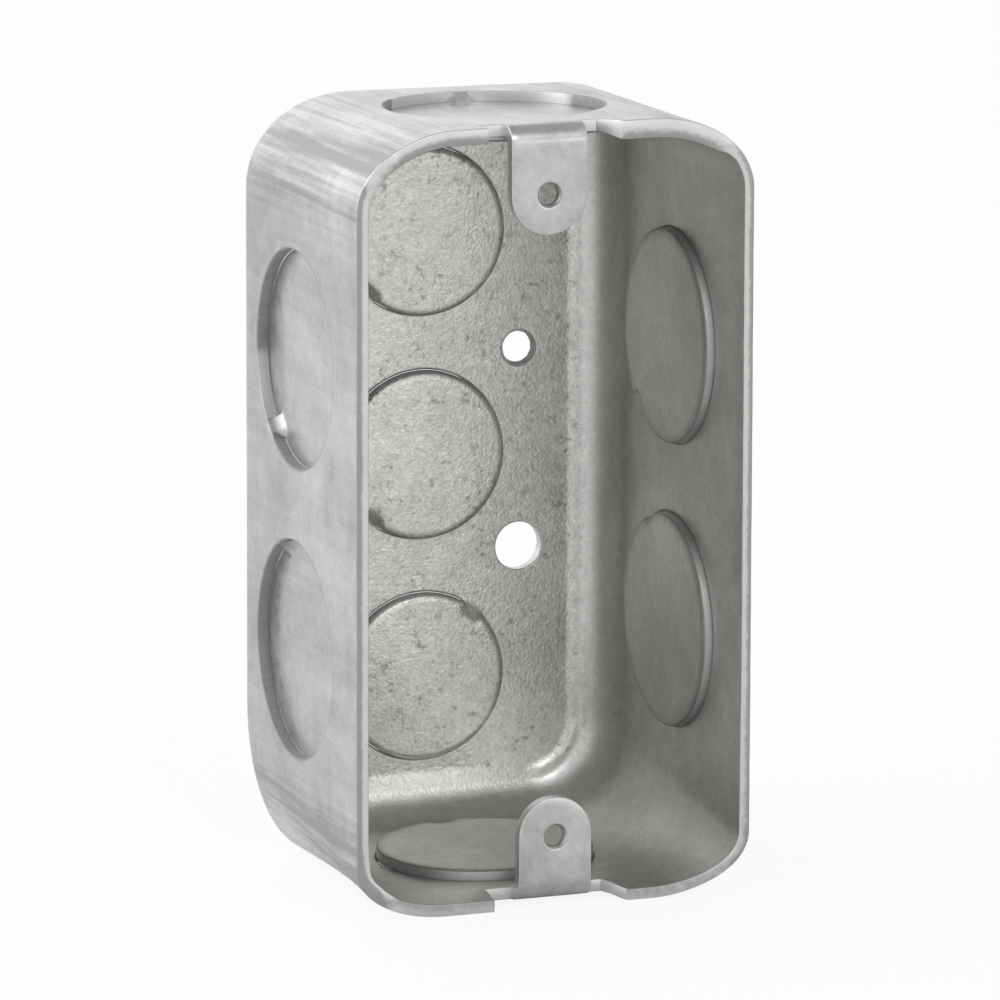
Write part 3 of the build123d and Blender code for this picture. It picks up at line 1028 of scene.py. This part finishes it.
def steel(name, look):
    """Galvanised sheet. Clouds of dull and bright zinc, a few centimetres long, carry finer mottle and
    grain: the tone is a half, plus each noise less its middle, times its strength. The drawing has left
    streaks along the depth of the walls, most at the corners. The inside of the back is the roughest, with
    clusters of dark specks, and its tint lifts it above the zinc: painted light for its shade. The radius
    round it is polished, and its lighter colour there is partly a painted highlight. A cut runs from
    sheared and dark to broken and bright, as its slope and shine say; the torn edges of the knockouts are
    darker, with fine marks across them, and painted shade darkens the skin beside their slots and on their
    ties. The fold is a ridge on part of a circle in the lower right corner."""
    graph = Graph(name)
    noise, remap = graph.noise, graph.remap
    add, times = (partial(graph.math, kind) for kind in ("ADD", "MULTIPLY"))
    rest = partial(graph.math, "SUBTRACT", 1.0)
    absolute = partial(graph.math, "ABSOLUTE")

    def vary(total, layer, strength):
        """Adds a noise, less its middle, times a strength."""
        return add(total, times(add(layer, -0.5), strength))

    side, panel, seam, slope, shine = map(graph.mark, ("side", "panel", "seam", "slope", "shine"))
    inner = remap(side, *INSIDE)
    outer = rest(inner)
    cut = remap(absolute(side), *CUT_BEGINS)
    rough_part = times(inner, add(times(panel, 1 - WALL_ROUGH), WALL_ROUGH))

    # Zinc
    tone, layers = 0.5, []
    for scale, detail, rough, twist, strength, on_rough in (CLOUDS, MOTTLE, GRAIN, FINE_GRAIN):
        layers.append(noise(scale, detail, rough, distortion=twist))
        tone = vary(tone, layers[-1], add(times(rough_part, on_rough), strength))
    clouds, mottle, grain, fine_grain = layers
    across_x, _, along_z = graph.parts()
    corner = times(remap(absolute(across_x), *CORNER_ACROSS),
                   remap(absolute(add(along_z, -HALF_Z)), *CORNER_ALONG))
    bands, streaks, rolled = (noise(1, detail, rough, vector=graph.stretch(cells))
                              for cells, detail, rough, _ in (BANDS, STREAKS, ROLLED_LINES))
    drawn = times(times(outer, add(times(corner, 1 - DRAWN_ELSEWHERE), DRAWN_ELSEWHERE)), rest(panel))
    tone = vary(tone, bands, times(drawn, BANDS[-1]))
    tone = vary(tone, streaks, times(drawn, STREAKS[-1]))
    tone = vary(tone, rolled, times(outer, ROLLED_LINES[-1]))
    colour = graph.mix(add(tone, 0.0, clamp=True), (*look.cloud, 1), (*look.zinc, 1))
    polish_and_highlight = times(times(panel, rest(panel)), times(inner, 4.0))  # 1 halfway round the radius
    # The inside of the walls is tinted a little darker and the inside of the back lighter than the zinc; the
    # back's tint, above 1, is painted light that lifts its shade.
    tint_and_painted_light = graph.mix(panel, (*look.walls, 1), (*look.back, 1))
    colour = graph.mix(inner, colour, graph.mix(1.0, colour, tint_and_painted_light, kind="MULTIPLY"))
    # Lighter colour halfway round the back radius: the polished radius, partly a painted highlight.
    colour = graph.mix(times(polish_and_highlight, POLISHED_AND_HIGHLIGHT_SHARE), colour, (*look.polished, 1))
    specks = times(remap(noise(*SPECKS), *SPECKS_SHOW), remap(noise(*CLUSTERS), *CLUSTERS_SHOW))
    pitted = times(inner, add(times(remap(panel, *BACK_BEGINS), MORE_BACK_SPECKS), WALL_SPECKS))
    colour = graph.mix(times(specks, pitted), colour, (*look.pit_and_shade, 1))

    # Cuts and tears, with painted shade beside the slots and on the ties
    broken = vary(add(times(side, slope), shine), noise(*BROKEN), BROKEN_STRENGTH)
    edge = graph.mix(remap(broken, *BROKEN_SHOWS), (*look.shear, 1), (*look.cut, 1))
    edge = graph.mix(times(seam, TEAR_SHARE), edge, (*look.torn, 1))
    marks = noise(1, 1, 0.6, vector=graph.stretch(TEAR_MARKS))
    pits = times(add(marks, -TEAR_MARKS_FROM, clamp=True), times(seam, TEAR_PITS_AND_SHADE))
    edge = graph.mix(pits, edge, (*look.pit_and_shade, 1))
    # Painted shade: the skin beside a tear and on a tie is darkened towards the pits' colour.
    colour = graph.mix(times(seam, TEAR_PITS_AND_SHADE), colour, (*look.pit_and_shade, 1))
    graph.feed(graph.shader.inputs["Base Color"], graph.mix(cut, colour, edge))

    # Roughness
    rough = add(times(seam, ROUGH_TEAR), look.roughness)
    rough = add(times(times(inner, rest(panel)), ROUGH_WALLS), rough)
    for layer, (outside, everywhere) in ((mottle, ROUGH_MOTTLE), (clouds, ROUGH_CLOUDS)):
        rough = vary(rough, layer, add(times(outer, outside), everywhere))
    graph.feed(graph.shader.inputs["Roughness"], add(rough, times(cut, ROUGH_CUT), clamp=True))
    graph.shader.inputs["Metallic"].default_value = look.metal

    # Relief
    worn = graph.math("SUBTRACT", RELIEF_ROUGH, times(polish_and_highlight, RELIEF_POLISHED))
    height = times(add(times(grain, GRAIN_SHARE), fine_grain), add(times(rough_part, worn), RELIEF_PLAIN))
    height = add(height, times(streaks, times(drawn, RELIEF_STREAKS)))
    right = graph.math("MAXIMUM", add(across_x, -look.fold_x), 0.0)
    down = graph.math("MAXIMUM", graph.math("SUBTRACT", HALF_Z + look.fold_z, along_z), 0.0)
    reach = graph.math("SQRT", add(times(right, right), times(down, down)))
    near_fold = absolute(add(reach, -look.fold_reach))
    fold = times(remap(near_fold, look.fold_width, 0.0), times(inner, remap(panel, *FOLD_BEGINS)))
    fold = times(fold, times(remap(right, *FOLD_ENDS), remap(down, *FOLD_ENDS)))
    height = add(height, times(fold, look.fold_height / look.relief))
    graph.feed(graph.shader.inputs["Normal"], graph.bump(height, look.relief))
    return graph.material


DISC_CLEAR = 2.85 * MM  # from a disc in a wall to the grid round it, along the wall
DISC_START = 6.4 * MM  # where the block of a disc starts behind the rim
# Ties of the upper and the lower disc of a long wall and of the disc of an end wall, as directions along
# the wall and behind, and how dull each tie is and how much painted shade darkens it
UPPER_TIE, LOWER_TIE, END_TIE = (-0.75, 0.66), (0.91, 0.41), (0.04, 1)
LEFT_DULL_AND_SHADE, RIGHT_DULL_AND_SHADE, TOP_DULL_AND_SHADE, BOTTOM_DULL_AND_SHADE = 1.5, 0.4, 0.0, 0.4
# Where the edge was bent smooth before it tore: a direction and half an angle in radians
UPPER_SOFT, TOP_SOFT = ((-0.42, 0.91), 0.37), ((0.15, 1), 1.0)


class HANDYBOX_OT_box(bpy.types.Operator):
    """Builds the drawn sheet with its walls, back, knockouts and ears as one closed mesh"""

    bl_idname = "handybox.box"
    bl_label = "Drawn box"

    def execute(self, context):
        scene = context.scene
        box, knock, ears = scene.handybox_box, scene.handybox_knockouts, scene.handybox_ears
        sheet = Sheet(box)
        radius = knock.large
        middle = knock.side_shift
        side_stops = (-HALF_Z, middle - knock.side_reach - radius - DISC_CLEAR, middle,
                      middle + knock.side_reach + radius + DISC_CLEAR, HALF_Z)
        end_middle = (knock.top_shift + knock.bottom_shift) / 2
        end_stops = (-HALF_X, end_middle - radius - DISC_CLEAR, -ears.notch_left, -ears.width / 2,
                     ears.width / 2, ears.notch_right, end_middle + radius + DISC_CLEAR, HALF_X)
        straight = DEPTH - box.back_radius
        behind = (0, ears.notch_depth, DISC_START, straight - MM, straight,
                  straight + box.back_radius * np.pi / 2)
        for side in (1, -1):
            push, dull = (knock.push_right, RIGHT_DULL_AND_SHADE) if side > 0 else (knock.push_left, LEFT_DULL_AND_SHADE)
            upper = (middle + knock.side_reach, knock.side_depth)
            lower = (middle - knock.side_reach, knock.side_depth)
            discs = ((*side_stops[2:4], upper, push, UPPER_TIE, dull, UPPER_SOFT),
                     (*side_stops[1:3], lower, push, LOWER_TIE, dull, None))
            add_wall(sheet, Wall(box, "z", side), side_stops, behind, discs, ears, knock)
            if side > 0:
                centre, push = (knock.top_shift, knock.top_depth), knock.push_top
                dull, soft = TOP_DULL_AND_SHADE, TOP_SOFT
            else:
                centre, push = (knock.bottom_shift, knock.bottom_depth), knock.push_bottom
                dull, soft = BOTTOM_DULL_AND_SHADE, None
            tie = (END_TIE[0] * side, END_TIE[1])
            disc = (end_stops[1], end_stops[6], centre, push, tie, dull, soft)
            add_wall(sheet, Wall(box, "x", side), end_stops, behind, [disc], ears, knock)
            add_ear(sheet, Ear(box, ears, side), ears, lines(end_stops, box.pitch))
        add_back(sheet, lines(end_stops, box.pitch), lines(side_stops, box.pitch), knock, ears)
        outside, inside, *rest = sheet.merged()
        moved = settle(outside, box, ears)
        points, side, marks, cells = close_cuts(outside + moved, inside + moved, *rest)
        points = np.clip(points, np.array(LOW), np.array(HIGH))
        panel, seam, slope, shine = marks.T
        made = make_object("drawn_box", points, cells, side=side, panel=panel, seam=seam, slope=slope,
                           shine=shine)
        made.data.materials.append(steel("galvanised_steel", scene.handybox_look))
        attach(made, "root")
        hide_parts(NODE)
        return {"FINISHED"}


THREAD_INSET = 0.02 * MM  # a sleeve stops this far inside both faces of the sheet
EAR_THREAD, GROUND_THREAD = 0.28 * MM, 0.38 * MM  # heights of the threads


class HANDYBOX_OT_threads(bpy.types.Operator):
    """Makes the threads of the ears and of the ground hole, as sleeves seated in their holes"""

    bl_idname = "handybox.threads"
    bl_label = "Threads"

    def execute(self, context):
        scene = context.scene
        box, ears = scene.handybox_box, scene.handybox_ears
        finish = steel("thread_steel", scene.handybox_look)
        thick = box.sheet - 2 * THREAD_INSET
        face = FRONT + ears.setback + THREAD_INSET
        back = FRONT + DEPTH - box.sheet + THREAD_INSET
        reach = HALF_Z - ears.inset
        ear_thread = (ears.screw, EAR_THREAD, ears.screw_pitch)
        ground_thread = (ears.ground, GROUND_THREAD, ears.ground_pitch)
        for name, centre, (outer, height, pitch) in (
            ("upper_ear_thread", (ears.shift_top, face, HALF_Z + reach), ear_thread),
            ("lower_ear_thread", (ears.shift_bottom, face, HALF_Z - reach), ear_thread),
            ("ground_thread", (box.hole_x, back, HALF_Z + box.hole_z), ground_thread),
        ):
            points, cells = thread_sleeve(centre, outer, outer - height, pitch, thick)
            made = make_object(name, points, cells)
            made.data.materials.append(finish)
            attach(made, "root")
        return {"FINISHED"}


class HANDYBOX_OT_stage(bpy.types.Operator):
    """Sets the floor, the lights and the camera"""

    bl_idname = "handybox.stage"
    bl_label = "Stage"

    def execute(self, context):
        scene = context.scene
        add_floor()
        add_world(scene)
        add_lights(scene)
        add_camera(scene)
        scene.view_settings.view_transform = "Standard"
        return {"FINISHED"}


FLOOR_HALF = 6.0  # half the side of the floor
FLOOR_COLOUR, FLOOR_ROUGH, FLOOR_GLOSS = (0.82, 0.82, 0.82, 1), 0.9, 0.1
FLOOR_WHITE, FLOOR_SHARE = 1.035, 0.86  # strength of its white, and the share of it that the camera sees
WORLD_COLOUR = (1.0, 1.0, 0.99, 1)
WORLD_HEIGHTS, WORLD_STRENGTHS = (0.45, 0.95), (0.76, 0.42)  # of the direction, and at those heights
# Lamps: name, place, side of the square and watts
LAMPS = (
    ("left", (-1.6, 0.45, 0.75), 2.0, 19.0),
    ("backdrop", (-0.1, 1.7, 0.5), 1.8, 2.3),
    ("right", (0.85, -1.5, -0.05), 0.9, 2.1),
    ("upper", (0.1, -1.35, 1.05), 0.55, 2.5),
)
# The camera: radians right, down and rolled, place from the middle of the open side, lens and shift
CAMERA_TURNS = (0.368707, 0.199248, 0.002683)
CAMERA_PLACE = (-448.805 * MM, -1141.958 * MM, 249.996 * MM)
CAMERA_LENS, CAMERA_SENSOR, CAMERA_SHIFT = 354.556, 36, (-0.00068, 0.0014)
CAMERA_CLIP = (0.05, 50)


def white_to_camera(tree, shade, white, output, share):
    """Mixes white into a surface or a world by a share of what the camera itself sees."""
    path = tree.nodes.new("ShaderNodeLightPath")
    part = tree.nodes.new("ShaderNodeMath")
    part.operation = "MULTIPLY"
    part.inputs[1].default_value = share
    mix = tree.nodes.new("ShaderNodeMixShader")
    for source, socket in ((path.outputs["Is Camera Ray"], part.inputs[0]), (part.outputs[0], mix.inputs[0]),
                           (shade.outputs[0], mix.inputs[1]), (white.outputs[0], mix.inputs[2]),
                           (mix.outputs[0], tree.nodes[output].inputs["Surface"])):
        tree.links.new(source, socket)


def add_floor():
    """Plain pale floor that stays white to the camera, apart from the shadow."""
    mesh = bpy.data.meshes.new("floor")
    corners = [(x * FLOOR_HALF, y * FLOOR_HALF, 0) for x, y in ((-1, -1), (1, -1), (1, 1), (-1, 1))]
    mesh.from_pydata(corners, [], [(0, 1, 2, 3)])
    floor = bpy.data.objects.new("floor", mesh)
    bpy.context.scene.collection.objects.link(floor)
    made = bpy.data.materials.new("floor_paper")
    made.use_nodes = True
    tree = made.node_tree
    shader = tree.nodes["Principled BSDF"]
    shader.inputs["Base Color"].default_value = FLOOR_COLOUR
    shader.inputs["Roughness"].default_value = FLOOR_ROUGH
    shader.inputs["Specular IOR Level"].default_value = FLOOR_GLOSS
    white = tree.nodes.new("ShaderNodeEmission")
    white.inputs["Strength"].default_value = FLOOR_WHITE
    white_to_camera(tree, shader, white, "Material Output", FLOOR_SHARE)
    mesh.materials.append(made)


def add_world(scene):
    """White world whose strength eases with the height of the direction, and that is white to the camera."""
    world = bpy.data.worlds.new("studio")
    world.use_nodes = True
    scene.world = world
    tree = world.node_tree
    shade = tree.nodes["Background"]
    shade.inputs["Color"].default_value = WORLD_COLOUR
    direction = tree.nodes.new("ShaderNodeTexCoord")
    parts = tree.nodes.new("ShaderNodeSeparateXYZ")
    ease = tree.nodes.new("ShaderNodeMapRange")
    ease.interpolation_type = "SMOOTHSTEP"
    for socket, value in zip(ease.inputs[1:5], WORLD_HEIGHTS + WORLD_STRENGTHS):
        socket.default_value = value
    tree.links.new(direction.outputs["Generated"], parts.inputs[0])
    tree.links.new(parts.outputs[2], ease.inputs[0])
    tree.links.new(ease.outputs[0], shade.inputs["Strength"])
    white = tree.nodes.new("ShaderNodeBackground")
    white.inputs["Color"].default_value = (1, 1, 1, 1)
    white_to_camera(tree, shade, white, "World Output", 1.0)


def set_axes(holder, right, up, back, place):
    """Puts an object at a place, turned so that its own axes point right, up and back."""
    turned = np.eye(4)
    turned[:3, 0], turned[:3, 1], turned[:3, 2], turned[:3, 3] = right, up, back, place
    holder.matrix_world = Matrix(turned)


def add_lights(scene):
    """Soft square lamps that face the middle of the box. Back points from there to the lamp, right is level
    and square to it, and up is square to both."""
    for name, place, size, power in LAMPS:
        lamp = bpy.data.lights.new(name, "AREA")
        lamp.size = size
        lamp.energy = power
        holder = bpy.data.objects.new(name, lamp)
        back = unit(np.array(place) - np.array((0, 0, HALF_Z)))
        right = unit(np.cross((0, 0, 1.0), back))
        set_axes(holder, right, np.cross(back, right), back, place)
        holder.visible_camera = False
        scene.collection.objects.link(holder)


def add_camera(scene):
    """Camera at the photograph's viewing angle: turned right by the yaw, down by the pitch, then rolled."""
    yaw, pitch, roll = CAMERA_TURNS
    x, y, z = CAMERA_PLACE
    forward = np.array((math.sin(yaw) * math.cos(pitch), math.cos(yaw) * math.cos(pitch), -math.sin(pitch)))
    right = np.array((math.cos(yaw), -math.sin(yaw), 0))
    up = np.cross(right, forward)
    right, up = math.cos(roll) * right + math.sin(roll) * up, -math.sin(roll) * right + math.cos(roll) * up
    data = bpy.data.cameras.new("camera")
    data.sensor_width, data.lens = CAMERA_SENSOR, CAMERA_LENS
    data.shift_x, data.shift_y = CAMERA_SHIFT
    data.clip_start, data.clip_end = CAMERA_CLIP
    camera = bpy.data.objects.new("camera", data)
    set_axes(camera, right, up, -forward, (x, FRONT + y, HALF_Z + z))
    scene.collection.objects.link(camera)
    scene.camera = camera


class HANDYBOX_PT_panel(bpy.types.Panel):
    """Lists the pieces and their sizes"""

    bl_label = "Handy box"
    bl_idname = "HANDYBOX_PT_panel"
    bl_space_type = "VIEW_3D"
    bl_region_type = "UI"
    bl_category = "Handy box"

    def draw(self, context):
        for piece in (HANDYBOX_OT_box, HANDYBOX_OT_threads, HANDYBOX_OT_stage):
            self.layout.operator(piece.bl_idname)
        for group in GROUPS:
            sizes = getattr(context.scene, group)
            box = self.layout.box()
            for key in sizes.__annotations__:
                box.prop(sizes, key)


GROUPS = {
    "handybox_box": BoxSizes,
    "handybox_knockouts": KnockoutSizes,
    "handybox_ears": EarSizes,
    "handybox_look": SteelLook,
}
CLASSES = (*GROUPS.values(), HANDYBOX_OT_box, HANDYBOX_OT_threads, HANDYBOX_OT_stage, HANDYBOX_PT_panel)


def register():
    for kind in CLASSES:
        bpy.utils.register_class(kind)
    for name, group in GROUPS.items():
        setattr(bpy.types.Scene, name, PointerProperty(type=group))


def unregister():
    for name in GROUPS:
        delattr(bpy.types.Scene, name)
    for kind in reversed(CLASSES):
        bpy.utils.unregister_class(kind)


def main():
    """Makes every piece in order."""
    register()
    bpy.ops.handybox.box()
    bpy.ops.handybox.threads()
    bpy.ops.handybox.stage()


if __name__ == "__main__":
    main()
